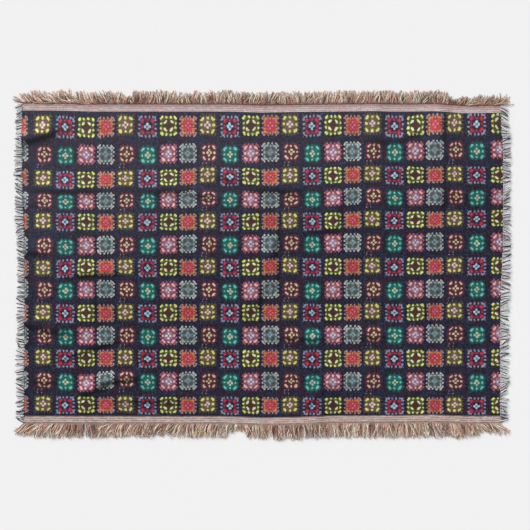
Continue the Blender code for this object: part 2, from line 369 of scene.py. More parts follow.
def buildWovenThreads():
    tree, given, out = newGroup(
        "wovenThreads",
        [("Point", "vector", None), ("Warp Pitch", "value", 0.00125), ("Weft Pitch", "value", 0.00135)],
        [("Snap", "vector"), ("Stitch", "vector"), ("Height", "value"), ("Tone", "value")],
    )
    place = separated(tree, given["Point"])
    across = calc(tree, "DIVIDE", place["X"], given["Warp Pitch"])
    up = calc(tree, "DIVIDE", place["Y"], given["Weft Pitch"])
    column, row = calc(tree, "FLOOR", across), calc(tree, "FLOOR", up)
    stitch = vectorOf(tree, column, row)
    snapX = toMiddle(tree, column, given["Warp Pitch"], place["X"])
    snapY = toMiddle(tree, row, given["Weft Pitch"], place["Y"])
    feed(tree, out["Snap"], vectorOf(tree, snapX, snapY))
    feed(tree, out["Stitch"], stitch)
    # Each stitch is a small hump, and every other one in a row dips under its neighbour.
    hump = calc(tree, "SINE", calc(tree, "MULTIPLY", calc(tree, "FRACT", up), math.pi))
    parity = calc(tree, "MODULO", calc(tree, "ADD", column, row), 2.0)
    crown = calc(tree, "SINE", calc(tree, "MULTIPLY", calc(tree, "FRACT", across), math.pi))
    crown = calc(tree, "POWER", crown, weave["crownPower"])
    level = calc(tree, "MULTIPLY_ADD", calc(tree, "ABSOLUTE", parity), weave["dip"], 1 - weave["dip"])
    feed(tree, out["Height"], calc(tree, "MULTIPLY", calc(tree, "MULTIPLY", hump, level), crown))
    tone = addNode(tree, "ShaderNodeTexWhiteNoise", {"Vector": stitch}, noise_dimensions="2D")
    feed(tree, out["Tone"], tone.outputs["Value"])
    return tree


wovenThreads = buildWovenThreads()

# Grounds and the eight granny squares. Their charts are in chart steps from a square's middle.

chartStep = 0.002755

cloth = {
    "cellFaces": 12,  # faces along each side of a square's cell
    "fineRipple": 0.0005,  # height of the small unevenness
    "fray": 0.31,  # how ragged the woven shapes are, in chart steps
    "frayNoises": ((38.0, 6.5), (110.0, 4.6), (330.0, 1.6)),  # scale, share of the fray
    "strayStitches": 1.2,
    "tinge": 0.05,  # how far the warp's colours turn a square's hues
    "blotch": 0.60,  # how unevenly bright a square's clusters are
    "blotchScale": 210.0,
    "squareShade": (0.16, 0.942),  # how unlike whole squares are, and the darkest of them
    "stitchShade": (0.22, 0.86),
    "creaseShade": 0.66,  # painted shade: how much darker the deepest crease is painted
    "paintedLightFrom": -0.05,  # painted light: the cloth is painted brighter towards its upper left corner, the side the light comes from
    "paintedLightTo": 0.48,
    "paintedLightSlant": -0.28,
    "paintedLightGain": 0.22,
    # painted sheen: a pale haze painted over the lit upper left corner
    "paintedSheenVeil": 0.045,
    "paintedSheenTint": tint(172, 168, 170),
    "stripeScale": 62.0,  # the ground's broad stripes along the warp
    "stripeStretch": (1.0, 0.30, 0.0),
    "speckStretch": (0.45, 0.30, 0.0),
    "speckRange": (0.46, 0.70),
    "groundTints": [
        (0.22, tint(12, 48, 48)), (0.36, tint(18, 26, 45)), (0.45, tint(37, 39, 64)),
        (0.53, tint(29, 27, 36)), (0.65, tint(52, 28, 50)), (0.77, tint(13, 25, 56)),
    ],
    "speckTints": [
        (0.0, tint(10, 12, 22)), (0.34, tint(34, 42, 60)), (0.50, tint(66, 33, 54)),
        (0.64, tint(28, 68, 66)), (0.76, tint(64, 56, 82)), (0.92, tint(94, 88, 104)),
    ],
}


def buildSquareFold():
    # Frays a square's chart, snaps it to the stitches and folds its four sides onto one.
    tree, given, out = newGroup(
        "squareFold",
        [
            ("Chart", "vector", None), ("Point", "vector", None), ("Snap", "vector", None),
            ("Shift Across", "value", 0.0), ("Shift Up", "value", 0.0), ("Fray", "value", 0.4),
            ("Step", "value", chartStep),
        ],
        [("Out", "value"), ("Side", "value"), ("Across", "value"), ("Up", "value"), ("Flat", "vector")],
    )
    snapped = calcVector(tree, "ADD", given["Point"], given["Snap"])
    steps = calcVector(tree, "SCALE", given["Snap"], scale=calc(tree, "DIVIDE", 1.0, given["Step"]))
    chart = calcVector(tree, "ADD", given["Chart"], steps)
    for scale, share in cloth["frayNoises"]:
        reach = calc(tree, "MULTIPLY", given["Fray"], share)
        chart = strayed(tree, chart, noiseOf(tree, snapped, scale)["Color"], reach)
    stray = addNode(tree, "ShaderNodeTexWhiteNoise", {"Vector": snapped}, noise_dimensions="2D")
    reach = calc(tree, "MULTIPLY", given["Fray"], cloth["strayStitches"])
    chart = strayed(tree, chart, stray.outputs["Color"], reach)
    chart = calcVector(tree, "SUBTRACT", chart, vectorOf(tree, given["Shift Across"], given["Shift Up"]))
    sides = separated(tree, calcVector(tree, "ABSOLUTE", chart))
    feed(tree, out["Across"], sides["X"])
    feed(tree, out["Up"], sides["Y"])
    feed(tree, out["Out"], calc(tree, "MAXIMUM", sides["X"], sides["Y"]))
    feed(tree, out["Side"], calc(tree, "MINIMUM", sides["X"], sides["Y"]))
    feed(tree, out["Flat"], chart)
    return tree


foldSockets = [("Out", "value", 0.0), ("Side", "value", 0.0), ("Across", "value", 0.0), ("Up", "value", 0.0)]


def buildClusterRound():
    # One round of a square: clusters spaced along each side, and a slanting one at each corner.
    tree, given, out = newGroup(
        "clusterRound",
        foldSockets + [
            ("Distance", "value", 5.4), ("Spacing", "value", 4.0), ("Phase", "value", 0.0),
            ("Length", "value", 1.2), ("Width", "value", 1.2), ("Corner Distance", "value", 5.0),
            ("Corner Length", "value", 2.2), ("Corner Width", "value", 1.2), ("Softness", "value", 0.35),
        ],
        [("Mask", "value")],
    )
    slot = calc(tree, "ADD", calc(tree, "DIVIDE", given["Side"], given["Spacing"]), given["Phase"])
    fromSlot = calc(tree, "SUBTRACT", slot, calc(tree, "ROUND", slot))
    sideways = calc(tree, "DIVIDE", calc(tree, "MULTIPLY", fromSlot, given["Spacing"]), given["Length"])
    outwards = calc(tree, "DIVIDE", calc(tree, "SUBTRACT", given["Out"], given["Distance"]), given["Width"])
    middle = calc(tree, "ADD", squared(tree, sideways), squared(tree, outwards))
    halfTurn = math.sqrt(0.5)  # the corner's own axes stand at 45 degrees
    slanting = calc(tree, "MULTIPLY", calc(tree, "SUBTRACT", given["Across"], given["Up"]), halfTurn)
    slanting = calc(tree, "DIVIDE", slanting, given["Corner Length"])
    diagonal = calc(tree, "MULTIPLY", calc(tree, "ADD", given["Across"], given["Up"]), halfTurn)
    beyond = calc(tree, "SUBTRACT", diagonal, calc(tree, "MULTIPLY", given["Corner Distance"], math.sqrt(2)))
    beyond = calc(tree, "DIVIDE", beyond, given["Corner Width"])
    corner = calc(tree, "ADD", squared(tree, slanting), squared(tree, beyond))
    nearest = calc(tree, "MINIMUM", middle, corner)
    start, end = calc(tree, "ADD", 1.0, given["Softness"]), calc(tree, "SUBTRACT", 1.0, given["Softness"])
    feed(tree, out["Mask"], softStep(tree, nearest, start, end))
    return tree


def buildSquarePatch():
    # A filled square or round patch whose rim has a row of short spikes.
    tree, given, out = newGroup(
        "squarePatch",
        foldSockets + [
            ("Half", "value", 7.0), ("Squareness", "value", 6.0), ("Spike Spacing", "value", 4.0),
            ("Spike Reach", "value", 0.0), ("Softness", "value", 0.3),
        ],
        [("Mask", "value")],
    )
    powered = [calc(tree, "POWER", given[name], given["Squareness"]) for name in ("Across", "Up")]
    reach = calc(tree, "POWER", calc(tree, "ADD", *powered), calc(tree, "DIVIDE", 1.0, given["Squareness"]))
    turn = calc(tree, "MULTIPLY", calc(tree, "DIVIDE", given["Side"], given["Spike Spacing"]), 2 * math.pi)
    spike = calc(tree, "MULTIPLY", calc(tree, "COSINE", turn), given["Spike Reach"])
    rim = calc(tree, "SUBTRACT", given["Half"], spike)
    start, end = calc(tree, "ADD", rim, given["Softness"]), calc(tree, "SUBTRACT", rim, given["Softness"])
    feed(tree, out["Mask"], softStep(tree, reach, start, end))
    return tree


def buildSquareStar():
    # The four round petals in the middle of a square, and the dark dot at its heart.
    tree, given, out = newGroup(
        "squareStar",
        foldSockets + [("Reach", "value", 3.0), ("Petal", "value", 1.3), ("Dot", "value", 0.4)],
        [("Mask", "value"), ("Heart", "value")],
    )
    fromPetal = calc(tree, "SUBTRACT", given["Out"], calc(tree, "SUBTRACT", given["Reach"], given["Petal"]))
    away = calcVector(tree, "LENGTH", vectorOf(tree, fromPetal, given["Side"]))
    share = calc(tree, "DIVIDE", away, given["Petal"])
    feed(tree, out["Mask"], softStep(tree, share, 1.18, 0.86))
    heart = calc(tree, "ADD", given["Across"], given["Up"])
    start, end = calc(tree, "MULTIPLY", given["Dot"], 1.6), calc(tree, "MULTIPLY", given["Dot"], 0.7)
    feed(tree, out["Heart"], softStep(tree, heart, start, end))
    return tree


squareFold = buildSquareFold()
markGroups = {"clusters": buildClusterRound(), "patch": buildSquarePatch(), "star": buildSquareStar()}


def patch(colour, half, squareness=6.0, spacing=4.0, spikes=0.0, soft=0.3):
    names = ("Half", "Squareness", "Spike Spacing", "Spike Reach", "Softness")
    return "patch", colour, dict(zip(names, (half, squareness, spacing, spikes, soft)))


def clusters(colour, middles, corners, soft=0.35):
    # middles: distance, spacing, phase, half length, half width. corners: distance, half length, half width.
    middleNames = ("Distance", "Spacing", "Phase", "Length", "Width")
    cornerNames = ("Corner Distance", "Corner Length", "Corner Width")
    sizes = {**dict(zip(middleNames, middles)), **dict(zip(cornerNames, corners)), "Softness": soft}
    return "clusters", colour, sizes


def star(colour, reach, petal, dot):
    return "star", colour, {"Reach": reach, "Petal": petal, "Dot": dot}


noMiddles = (99.0, 4.0, 0.0, 0.1, 0.1)

# Each square from its rim inwards, in the order its colours lie over one another.
squares = {
    "yellowSquare": {
        "shift": (-1.3, 1.0),
        "heart": tint(118, 88, 84),
        "marks": [
            patch(tint(84, 78, 62), 8.1, 8.0, 2.9, 1.2, 0.6),
            patch(tint(94, 84, 50), 6.7, 6.0, 4.1, 0.2, 0.4),
            patch(tint(100, 80, 72), 4.6, 3.0),
            clusters(tint(208, 200, 120), (5.8, 20.0, 0.0, 1.15, 1.2), (5.25, 2.05, 1.2)),
            star(tint(204, 184, 170), 3.1, 1.15, 0.35),
        ],
    },
    "blueSquare": {
        "shift": (-1.05, -0.4),
        "heart": tint(66, 92, 122),
        "marks": [
            clusters(tint(132, 132, 156), (8.1, 3.7, 0.5, 0.9, 1.25), (7.5, 1.5, 0.85)),
            patch(tint(94, 36, 56), 6.6, 5.0, 3.7, 0.3, 0.4),
            clusters(tint(148, 50, 76), (5.5, 20.0, 0.0, 1.3, 0.9), (99.0, 2.0, 1.3)),
            clusters(tint(176, 48, 72), noMiddles, (4.9, 2.0, 1.3)),
            patch(tint(32, 28, 40), 4.25, 2.4, 4.0, 0.2),
            star(tint(154, 180, 200), 3.35, 1.28, 0.4),
        ],
    },
    "limeSquare": {
        "shift": (-0.6, 0.2),
        "heart": tint(68, 40, 34),
        "marks": [
            patch(tint(80, 88, 42), 8.1, 8.0, 4.1, 0.4, 0.5),
            patch(tint(58, 62, 32), 5.7, 5.0),
            clusters(tint(206, 212, 122), (7.3, 4.1, 0.5, 0.95, 1.05), (6.7, 1.9, 1.05)),
            patch(tint(72, 44, 38), 4.8, 0.75, 4.0, 0.0, 0.7),
            clusters(tint(218, 206, 176), noMiddles, (3.2, 2.1, 1.05)),
        ],
    },
    "orangeSquare": {
        "shift": (-0.45, 0.0),
        "heart": tint(112, 60, 100),
        "marks": [
            clusters(tint(156, 132, 132), (7.8, 3.8, 0.5, 0.75, 1.0), (7.2, 1.1, 0.6)),
            patch(tint(120, 62, 62), 6.9, 4.0, 3.8, -0.7, 0.8),
            clusters(tint(188, 118, 84), (5.75, 2.6, 0.0, 0.8, 1.1), (4.9, 1.7, 1.0)),
            patch(tint(156, 52, 56), 4.5, 1.8, 2.7, 0.6, 1.0),
            clusters(tint(190, 56, 62), noMiddles, (2.9, 1.9, 1.1)),
            star(tint(190, 104, 126), 3.1, 1.0, 0.45),
        ],
    },
    "brownSquare": {
        "shift": (0.05, 1.15),
        "heart": tint(62, 34, 32),
        "marks": [
            patch(tint(88, 44, 54), 7.8, 6.0, 4.4, -0.7, 0.8),
            patch(tint(76, 44, 38), 5.6, 5.0),
            clusters(tint(206, 168, 160), (5.45, 20.0, 0.0, 0.95, 1.0), (4.7, 2.05, 0.95)),
            star(tint(196, 176, 150), 3.1, 1.1, 0.7),
        ],
    },
    "tealSquare": {
        "shift": (-0.7, -0.3),
        "heart": tint(96, 112, 92),
        "marks": [
            patch(tint(30, 84, 78), 8.0, 6.0, 4.2, -0.7, 0.8),
            patch(tint(27, 96, 86), 5.9, 5.0),
            clusters(tint(106, 178, 174), (5.5, 20.0, 0.0, 1.0, 1.0), (5.0, 2.05, 1.1)),
            star(tint(180, 180, 156), 2.95, 1.1, 0.45),
        ],
    },
    "pinkSquare": {
        "shift": (-0.65, 0.75),
        "heart": tint(104, 84, 104),
        "marks": [
            clusters(tint(156, 90, 106), (7.9, 3.7, 0.5, 0.8, 1.0), (6.9, 0.7, 0.9)),
            patch(tint(124, 74, 86), 7.1, 8.0, 3.7, -0.4, 0.5),
            clusters(tint(218, 160, 166), (5.6, 20.0, 0.0, 1.15, 1.2), (5.0, 2.2, 1.2)),
            patch(tint(134, 112, 132), 4.1, 2.4),
            star(tint(198, 180, 190), 3.1, 1.1, 0.7),
        ],
    },
    "greySquare": {
        "shift": (-0.6, 1.2),
        "heart": tint(66, 84, 104),
        "marks": [
            clusters(tint(176, 172, 166), (7.8, 3.7, 0.5, 0.9, 1.0), (7.0, 1.3, 0.5)),
            patch(tint(76, 88, 92), 7.0, 5.0, 3.9, 0.4, 0.4),
            clusters(tint(142, 162, 162), (6.0, 3.4, 0.0, 1.1, 0.85), (5.2, 1.9, 0.95)),
            patch(tint(86, 106, 110), 4.9, 4.0),
            clusters(tint(78, 68, 70), noMiddles, (3.0, 2.1, 1.35)),
            star(tint(124, 144, 150), 2.6, 0.9, 0.5),
        ],
    },
}
# The small pale flecks under each brown square.
flecks = {
    "places": [(-6.4, -8.0), (-2.6, -7.7), (-7.0, -10.6), (-2.8, -10.8)],
    "stretch": (1.3, 0.8, 0.0),
    "rim": 0.9,
    "core": 0.3,
    "tint": tint(136, 122, 136),
}


def buildNavyGround():
    # The dark ground: warp threads in broad, soft stripes of navy, plum and bottle green, with bright specks.
    tree, given, out = newGroup(
        "navyGround",
        [("Point", "vector", None), ("Stitch", "vector", None), ("Tone", "value", 0.5)],
        [("Color", "colour"), ("Stripe", "value")],
    )
    stretched = calcVector(tree, "MULTIPLY", given["Point"], cloth["stripeStretch"])
    stripes = noiseOf(tree, stretched, cloth["stripeScale"], 2.0)["Fac"]
    ground = rampOf(tree, stripes, cloth["groundTints"])
    grouped = calcVector(tree, "MULTIPLY", given["Stitch"], cloth["speckStretch"])
    speckTint = rampOf(tree, given["Tone"], cloth["speckTints"], "CONSTANT")
    mask = softStep(tree, noiseOf(tree, grouped, 1.0)["Fac"], *cloth["speckRange"])
    feed(tree, out["Color"], mixTint(tree, mask, ground, speckTint))
    feed(tree, out["Stripe"], stripes)
    return tree


navyGround = buildNavyGround()


def fleckedGround(tree, colour, flat):
    for fleck in flecks["places"]:
        away = calcVector(tree, "SUBTRACT", flat, (*fleck, 0.0))
        near = calcVector(tree, "LENGTH", calcVector(tree, "MULTIPLY", away, flecks["stretch"]))
        colour = mixTint(tree, softStep(tree, near, flecks["rim"], flecks["core"]), colour, flecks["tint"])
    return colour


def squareMaterial(name, chart):
    material, tree, surface = newMaterial(name)
    point = addNode(tree, "ShaderNodeTexCoord").outputs["Object"]
    uv = addNode(tree, "ShaderNodeUVMap", uv_map="squareChart").outputs["UV"]
    pitches = {"Warp Pitch": weave["warpPitch"], "Weft Pitch": weave["weftPitch"]}
    threads = useGroup(tree, wovenThreads, {"Point": point, **pitches})
    shiftAcross, shiftUp = chart["shift"]
    folded = useGroup(
        tree, squareFold,
        {
            "Chart": uv, "Point": point, "Snap": threads["Snap"], "Fray": cloth["fray"],
            "Shift Across": shiftAcross, "Shift Up": shiftUp, "Step": chartStep,
        },
    )
    stitches = {"Stitch": threads["Stitch"], "Tone": threads["Tone"]}
    ground = useGroup(tree, navyGround, {"Point": point, **stitches})
    places = {socket: folded[socket] for socket in ("Out", "Side", "Across", "Up")}
    colour = ground["Color"]
    for kind, markTint, sizes in chart["marks"]:
        made = useGroup(tree, markGroups[kind], {**places, **sizes})
        colour = mixTint(tree, made["Mask"], colour, markTint)
        if kind == "star":
            colour = mixTint(tree, made["Heart"], colour, chart["heart"])
    if name == "brownSquare":
        flat = calcVector(tree, "ADD", folded["Flat"], (shiftAcross, shiftUp, 0.0))
        colour = fleckedGround(tree, colour, flat)
    # The warp's colours tinge the squares, and no two stitches, clusters or squares are quite alike.
    blotch = noiseOf(tree, point, cloth["blotchScale"], 1.5)["Fac"]
    hue = calc(tree, "MULTIPLY_ADD", calc(tree, "SUBTRACT", ground["Stripe"], 0.5), cloth["tinge"], 0.5)
    hue = calc(tree, "MULTIPLY_ADD", calc(tree, "SUBTRACT", blotch, 0.5), -cloth["tinge"], hue)
    value = spread(tree, threads["Tone"], weave["toneSpread"])
    value = calc(tree, "MULTIPLY", value, spread(tree, blotch, cloth["blotch"] * 2))
    value = shadeBy(tree, value, attributeOf(tree, "squareTone"), *cloth["squareShade"])
    value = shadeBy(tree, value, threads["Height"], *cloth["stitchShade"])
    # Painted light and a painted sheen: brighter and hazier towards the upper left corner, where the light
    # comes from.
    place = separated(tree, point)
    slanted = calc(tree, "MULTIPLY_ADD", place["X"], cloth["paintedLightSlant"], place["Y"])
    paintedLightMask = softStep(tree, slanted, cloth["paintedLightFrom"], cloth["paintedLightTo"])
    value = shadeBy(tree, value, paintedLightMask, cloth["paintedLightGain"])
    # Painted shade darkens the cloth down in its creases, and painted light brightens the rise beside each.
    value = shadeBy(tree, value, attributeOf(tree, "paintedCreaseShade"), -cloth["creaseShade"])
    shade = toned(tree, colour, value, hue)
    shade = mixTint(tree, calc(tree, "MULTIPLY", paintedLightMask, cloth["paintedSheenVeil"]), shade, cloth["paintedSheenTint"])
    feed(tree, surface["Base Color"], shade)
    bumped(tree, surface, threads["Height"], 0.5, weave["relief"])
    surface["Roughness"].default_value = 0.92
    surface["Specular IOR Level"].default_value = 0.12
    surface["Sheen Weight"].default_value = 0.05
    surface["Sheen Roughness"].default_value = 0.6
    return material


squareMaterials = [squareMaterial(name, chart) for name, chart in squares.items()]
print("woven square materials ready")

# The patterned cloth: a grid whose lines run between the squares, lifted over the folds.

layout = {
    "firstYellow": -0.6018,  # middle of the first whole column
    "repeat": 0.2265,  # four columns
    "withinRepeat": (0.0, 0.0602, 0.1169, 0.1704),
    "columns": 24,  # the first and last are cut by the edges
    "edgeMiddles": {0: -0.6685, 23: 0.6535},
    "stations": (-0.517, -0.063, 0.560),  # where the rows' heights below were taken
}
# Row middles at the left, middle and right stations, and how tall the row's squares stand.
rows = [
    (0.3785, 0.3798, 0.3850, 1.20), (0.2982, 0.3024, 0.3106, 1.12), (0.2321, 0.2400, 0.2445, 0.96),
    (0.1722, 0.1756, 0.1818, 0.97), (0.1157, 0.1157, 0.1233, 0.97), (0.0472, 0.0523, 0.0572, 1.05),
    (-0.0103, -0.0096, -0.0062, 0.97), (-0.0727, -0.0747, -0.0709, 1.04), (-0.1360, -0.1350, -0.1309, 0.99),
    (-0.2008, -0.2001, -0.1956, 1.05), (-0.2600, -0.2610, -0.2597, 0.98), (-0.3247, -0.3261, -0.3265, 1.04),
    (-0.3881, -0.3902, -0.3905, 0.96),
]


# Where the laid cloth is pulled up or down: place across, place up, reach, rise.
pulls = [
    (0.390, 0.380, 0.080, -0.0045), (-0.430, 0.205, 0.150, -0.0035), (-0.606, 0.230, 0.060, 0.0040),
    (-0.150, 0.215, 0.075, 0.0050), (0.020, 0.205, 0.085, -0.0055), (0.280, 0.185, 0.115, 0.0055),
    (-0.590, -0.040, 0.090, -0.0045), (0.050, -0.040, 0.070, 0.0045), (-0.055, -0.045, 0.060, -0.0040),
    (-0.390, -0.325, 0.075, 0.0050), (-0.490, -0.330, 0.050, -0.0060), (0.390, -0.135, 0.060, -0.0030),
    (-0.480, 0.380, 0.090, -0.0040), (-0.685, 0.285, 0.080, 0.0135), (-0.685, 0.235, 0.075, 0.0100),
]


def pulled(x, y):
    total = 0.0
    for across, up, reach, rise in pulls:
        share = math.hypot(x - across, y - up) / reach
        if share < 1:
            total += rise * (1 - share**2) ** 2
    return total


def columnMiddle(column):
    if column in layout["edgeMiddles"]:
        return layout["edgeMiddles"][column]
    repeats, place = divmod(column - 1, 4)
    return layout["firstYellow"] + repeats * layout["repeat"] + layout["withinRepeat"][place]


def rowMiddle(row, x):  # a smooth curve through the row's three stations
    places, heights = layout["stations"], rows[row][:3]
    total = 0.0
    for i in range(3):
        term = heights[i]
        for j in range(3):
            if j != i:
                term *= (x - places[j]) / (places[i] - places[j])
        total += term
    return total + pulled(x, total)


def rowBorder(row, x):  # the line above a row of squares
    if row == 0:
        return endLine(1, (x + halfLength) / throw["length"]).y
    if row == len(rows):
        return endLine(-1, (x + halfLength) / throw["length"]).y
    above, below = rows[row - 1][3], rows[row][3]
    return (rowMiddle(row - 1, x) * below + rowMiddle(row, x) * above) / (above + below)


def columnBorder(column, y):  # the line to the left of a column of squares
    share = (y + halfWidth) / throw["width"]
    if column == 0:
        return sideLine(-1, share).x
    if column == layout["columns"]:
        return sideLine(1, share).x
    return (columnMiddle(column - 1) + columnMiddle(column)) / 2


def ripple(x, y):
    broad = noise.noise(Vector((x * 16, y * 20, 3.1)))
    small = noise.noise(Vector((x * 55, y * 48, 7.7)))
    return cloth["fineRipple"] * (1.0 + broad + 0.5 * small)


def buildCloth():
    faces = cloth["cellFaces"]
    columnFaces = [faces] * layout["columns"]
    columnFaces[0], columnFaces[-1] = faces // 2, faces * 3 // 4
    across = [(column, step / count) for column, count in enumerate(columnFaces) for step in range(count)]
    across.append((layout["columns"] - 1, 1.0))
    down = [(row, step / faces) for row in range(len(rows)) for step in range(faces)] + [(len(rows) - 1, 1.0)]
    points, creaseShadePerPoint = [], []
    for row, rowShare in down:
        for column, columnShare in across:
            nearY = rowMiddle(row, columnMiddle(column))
            left, right = columnBorder(column, nearY), columnBorder(column + 1, nearY)
            x = left * (1 - columnShare) + right * columnShare
            y = rowBorder(row, x) * (1 - rowShare) + rowBorder(row + 1, x) * rowShare
            points.append((x, y, lift(x, y) + ripple(x, y) + throw["thickness"] / 2))
            # the painted crease shade at each point, for the material
            creaseShadePerPoint.append(paintedCreaseShade(x, y))
    wide = len(across)
    quads, motifs, charts, tones = [], [], [], []
    chance = random.Random(5)
    squareTones = [[chance.random() for _ in range(layout["columns"])] for _ in rows]
    for j in range(len(down) - 1):
        for i in range(wide - 1):
            corners = ((j + 1) * wide + i, (j + 1) * wide + i + 1, j * wide + i + 1, j * wide + i)
            quads.append(corners)
            row, column = down[j][0], across[i][0]
            motifs.append((column + 3) % 4 + (4 if row % 2 else 0))
            tones.append(squareTones[row][column])
            stretch = rows[row][3]
            for corner in corners:
                x, y, _ = points[corner]
                fromMiddle = x - columnMiddle(column), (y - rowMiddle(row, x)) / stretch
                charts += (fromMiddle[0] / chartStep, fromMiddle[1] / chartStep)
    mesh = bpy.data.meshes.new("clothPanel")
    mesh.from_pydata(points, [], quads)
    for material in squareMaterials:
        mesh.materials.append(material)
    mesh.polygons.foreach_set("material_index", motifs)
    mesh.polygons.foreach_set("use_smooth", [True] * len(quads))
    uv = mesh.uv_layers.new(name="squareChart")
    uv.data.foreach_set("uv", charts)
    tone = mesh.attributes.new("squareTone", "FLOAT", "FACE")
    tone.data.foreach_set("value", tones)
    creaseShadeLayer = mesh.attributes.new("paintedCreaseShade", "FLOAT", "POINT")
    creaseShadeLayer.data.foreach_set("value", creaseShadePerPoint)
    panel = bpy.data.objects.new("clothPanel", mesh)
    bpy.context.scene.collection.objects.link(panel)
    thick = panel.modifiers.new("clothThickness", "SOLIDIFY")
    thick.thickness = throw["thickness"]
    thick.offset = 0.0
    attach(panel, "root")
    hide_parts("woven_panel")
    return panel


clothPanel = buildCloth()
print("cloth woven:", len(clothPanel.data.polygons), "faces")

# Headings: a weft-faced band across each end, with raised cords along it.

headings = {
    "top": {
        "side": 1,
        "node": "top_heading",
        "line": tint(128, 104, 112),
        "lineStrength": 0.66,
        # colour from the cloth side out; the dark outer edge by the fringe's root is partly painted shade
        "across": [
            (0.0, tint(219, 209, 207)), (0.42, tint(210, 195, 192)), (0.72, tint(189, 167, 163)),
            (0.88, tint(154, 124, 120)), (1.0, tint(112, 80, 76)),
        ],
    },
    "bottom": {
        "side": -1,
        "node": "bottom_heading",
        "line": tint(94, 74, 72),
        "lineStrength": 0.75,
        # colour from the cloth side out; the dark inner edge along the cloth is partly painted shade and
        # partly a dark weft line
        "across": [
            (0.0, tint(50, 46, 56)), (0.07, tint(84, 78, 84)), (0.14, tint(186, 176, 170)),
            (0.4, tint(207, 193, 185)), (0.8, tint(201, 186, 175)), (1.0, tint(178, 160, 148)),
        ],
    },
}
headingSize = {
    "thickness": 0.0022,
    "cordRelief": 0.0008,
    "stations": 264,  # sections along the band
    "sections": 30,  # points across it
    "ribPitch": 0.0055,  # faint ribs across it
    "cordSpacing": 0.27,  # share of its width from one groove to the next
    "firstGroove": 0.13,
    "warpPitch": 0.0016,
    "weftPitch": 0.0010,
    "toneSpread": 0.26,
    "stitchShade": (0.2, 0.88),
    "ribShade": 0.035,
    "mottle": 0.40,
    "mottleScale": 260.0,
    "grooveSharpness": 1.3,
    "dashScale": 55.0,  # the broken colour in the grooves
    "dashStretch": (1.0, 5.0, 0.0),
    "dashRange": (0.30, 0.56),
    "patchScale": 22.0,  # broad patches of tint along the band
    "patchStretch": (1.0, 3.5, 0.0),
    "patchTinge": 0.55,
    "patchVeil": 0.30,
    "patchTints": [
        (0.30, tint(196, 200, 190)), (0.40, tint(200, 188, 184)), (0.48, tint(190, 172, 174)),
        (0.57, tint(216, 160, 150)), (0.62, tint(194, 184, 180)), (0.74, tint(184, 170, 184)),
    ],
}


def bandMesh(name, line, outwards, inner, outer, profile, stations, chartName):
    # A closed band along an edge. The profile is its height over its underside, from inside to outside.
    points, faces, charts = [], [], []
    last = len(profile) - 1
    ring = len(profile) + 2
    for station in range(stations + 1):
        base = line(station / stations)
        for share, height in [(i / last, h) for i, h in enumerate(profile)] + [(1.0, 0.0), (0.0, 0.0)]:
            spot = base + outwards * (inner + (outer - inner) * share)
            points.append((spot.x, spot.y, lift(spot.x, spot.y) + height))
            charts.append((base.x * abs(outwards.y) + base.y * abs(outwards.x), share))
    for station in range(stations):
        for i in range(ring):
            j = (i + 1) % ring
            here, there = station * ring, (station + 1) * ring
            faces.append((here + i, here + j, there + j, there + i))
    faces.append(tuple(range(ring)))
    faces.append(tuple(stations * ring + i for i in reversed(range(ring))))
    mesh = bpy.data.meshes.new(name)
    mesh.from_pydata(points, [], faces)
    uv = mesh.uv_layers.new(name=chartName)
    for loop in mesh.loops:
        uv.data[loop.index].uv = charts[loop.vertex_index]
    outwardFaces(mesh)
    return mesh


def outwardFaces(mesh):
    shape = bmesh.new()
    shape.from_mesh(mesh)
    bmesh.ops.recalc_face_normals(shape, faces=shape.faces)
    shape.to_mesh(mesh)
    shape.free()


def headingMaterial(name, band):
    material, tree, surface = newMaterial(name)
    point = addNode(tree, "ShaderNodeTexCoord").outputs["Object"]
    uv = addNode(tree, "ShaderNodeUVMap", uv_map="headingChart").outputs["UV"]
    share = separated(tree, uv)["Y"]
    pitches = {"Warp Pitch": headingSize["warpPitch"], "Weft Pitch": headingSize["weftPitch"]}
    threads = useGroup(tree, wovenThreads, {"Point": point, **pitches})
    base = rampOf(tree, share, band["across"])
    stretched = calcVector(tree, "MULTIPLY", point, headingSize["patchStretch"])
    broad = noiseOf(tree, stretched, headingSize["patchScale"], 3.0, 0.6)["Fac"]
    patches = rampOf(tree, broad, headingSize["patchTints"])
    colour = mixTint(tree, headingSize["patchTinge"], base, mixTint(tree, 1.0, base, patches, "SOFT_LIGHT"))
    colour = mixTint(tree, headingSize["patchVeil"], colour, patches)
    turn = calc(tree, "SUBTRACT", share, headingSize["firstGroove"])
    turn = calc(tree, "MULTIPLY", turn, 2 * math.pi / headingSize["cordSpacing"])
    groove = calc(tree, "MULTIPLY_ADD", calc(tree, "COSINE", turn), 0.5, 0.5)
    groove = calc(tree, "POWER", groove, headingSize["grooveSharpness"])
    stretched = calcVector(tree, "MULTIPLY", point, headingSize["dashStretch"])
    dash = noiseOf(tree, stretched, headingSize["dashScale"], 2.0)["Fac"]
    groove = calc(tree, "MULTIPLY", groove, softStep(tree, dash, *headingSize["dashRange"]))
    colour = mixTint(tree, calc(tree, "MULTIPLY", groove, band["lineStrength"]), colour, band["line"])
    value = spread(tree, threads["Tone"], headingSize["toneSpread"])
    value = shadeBy(tree, value, threads["Height"], *headingSize["stitchShade"])
    along = separated(tree, point)["X"]
    rib = calc(tree, "SINE", calc(tree, "MULTIPLY", along, 2 * math.pi / headingSize["ribPitch"]))
    value = shadeBy(tree, value, rib, headingSize["ribShade"])
    mottle = noiseOf(tree, point, headingSize["mottleScale"])["Fac"]
    value = calc(tree, "MULTIPLY", value, spread(tree, mottle, headingSize["mottle"] * 2))
    feed(tree, surface["Base Color"], toned(tree, colour, value))
    bumped(tree, surface, threads["Height"], 0.6, weave["relief"])
    surface["Roughness"].default_value = 0.9
    surface["Specular IOR Level"].default_value = 0.2
    surface["Sheen Weight"].default_value = 0.12
    return material


